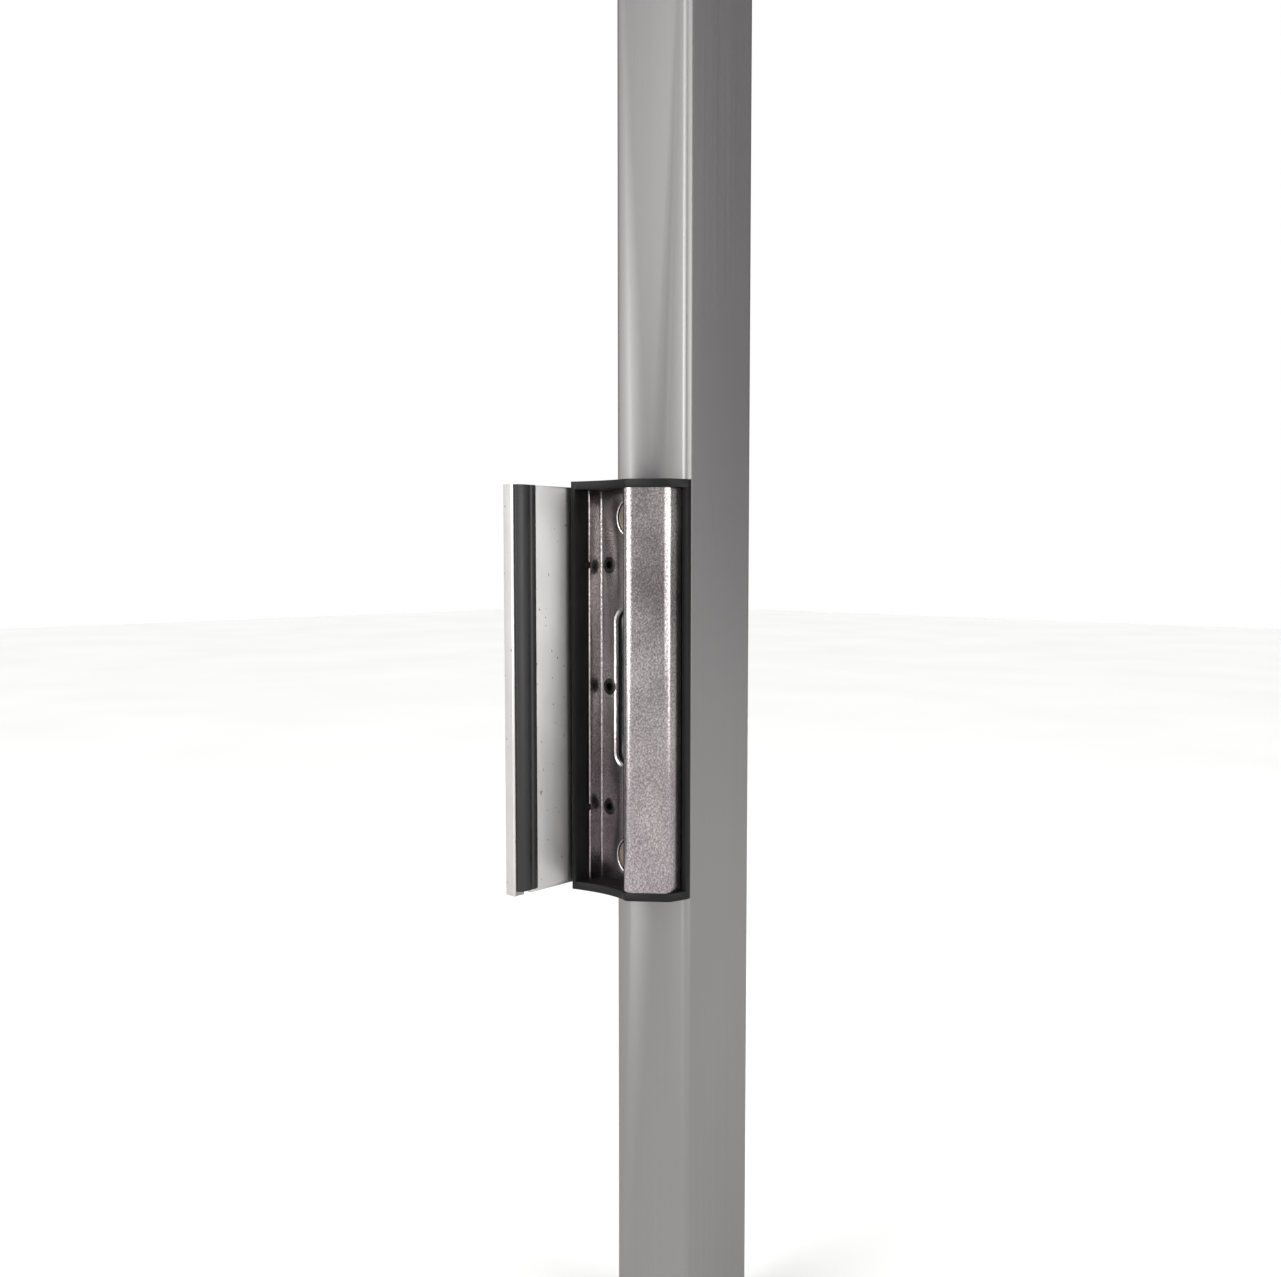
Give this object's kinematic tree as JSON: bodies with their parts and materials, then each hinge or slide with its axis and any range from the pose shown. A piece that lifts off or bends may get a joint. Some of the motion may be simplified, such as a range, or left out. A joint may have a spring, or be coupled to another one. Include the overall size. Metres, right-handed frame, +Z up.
{
  "type": "gate post with lock keep and adjustable stop",
  "caption": "Square metal gate post carrying a lock keep with a bent steel insert and a slide-adjustable gate stop with a rubber buffer.",
  "frame": {"origin": "centre of the square post's foot", "axes": "+Z up along the post; the lock side with the keep faces -Y; the gate leaf closes towards -X onto the stop"},
  "size_m": [0.0512, 0.091, 0.62],
  "materials": {
    "post_metal": "satin anodised, fine vertical grain",
    "housing_plastic": "black glass-filled nylon, fine texture",
    "insert_steel": "stainless steel, tumbled, mottled",
    "stop_metal": "natural mill finish with a few marks",
    "stop_rubber": "extruded EPDM, satin",
    "plated_steel": "zinc plated",
    "bolt_steel": "zinc plated, slightly warm",
    "black_screws": "black zinc, satin"
  },
  "bodies": {
    "keep": {"post": "post_metal", "housing": "housing_plastic", "keep_insert": "insert_steel", "reinforcing_plate": "plated_steel", "nut_bar": "plated_steel", "anchor_washer_upper": "bolt_steel", "anchor_washer_lower": "bolt_steel", "anchor_sleeve_upper": "plated_steel", "anchor_sleeve_lower": "plated_steel"},
    "stop": {"stop_profile": "stop_metal", "rubber_strip": "stop_rubber"},
    "screw_upper": {"clamp_screw_upper": "black_screws"},
    "screw_middle": {"clamp_screw_middle": "black_screws"},
    "screw_lower": {"clamp_screw_lower": "black_screws"},
    "bolt_upper": {"anchor_bolt_upper": "bolt_steel"},
    "bolt_lower": {"anchor_bolt_lower": "bolt_steel"},
    "cone_upper": {"anchor_cone_upper": "plated_steel"},
    "cone_lower": {"anchor_cone_lower": "plated_steel"}
  },
  "joints": [
    {"name": "stop_slide", "type": "slide", "parent": "keep", "child": "stop", "axis": [-1, 0, 0], "range_m": [-0.002, 0.01]},
    {"name": "screw_turn_upper", "type": "hinge", "parent": "keep", "child": "screw_upper", "pos_m": [-0.0145, -0.02865, 0.3394], "axis": [0, -1, 0], "continuous": true},
    {"name": "screw_turn_middle", "type": "hinge", "parent": "keep", "child": "screw_middle", "pos_m": [-0.0145, -0.02865, 0.29], "axis": [0, -1, 0], "continuous": true},
    {"name": "screw_turn_lower", "type": "hinge", "parent": "keep", "child": "screw_lower", "pos_m": [-0.0145, -0.02865, 0.2406], "axis": [0, -1, 0], "continuous": true},
    {"name": "bolt_turn_upper", "type": "hinge", "parent": "keep", "child": "bolt_upper", "pos_m": [-0.0023, -0.02712, 0.3584], "axis": [0, -1, 0], "range_deg": [0, 720]},
    {"name": "bolt_turn_lower", "type": "hinge", "parent": "keep", "child": "bolt_lower", "pos_m": [-0.0023, -0.02712, 0.2216], "axis": [0, -1, 0], "range_deg": [0, 720]},
    {"name": "cone_slide_upper", "type": "slide", "parent": "keep", "child": "cone_upper", "axis": [0, 1, 0], "range_m": [0, 0.00255]},
    {"name": "cone_slide_lower", "type": "slide", "parent": "keep", "child": "cone_lower", "axis": [0, 1, 0], "range_m": [0, 0.00255]}
  ],
  "couplings": [
    {"joint": "cone_slide_upper", "follows": "bolt_turn_upper", "m_per_rad": 0.00019894},
    {"joint": "cone_slide_lower", "follows": "bolt_turn_lower", "m_per_rad": 0.00019894}
  ]
}
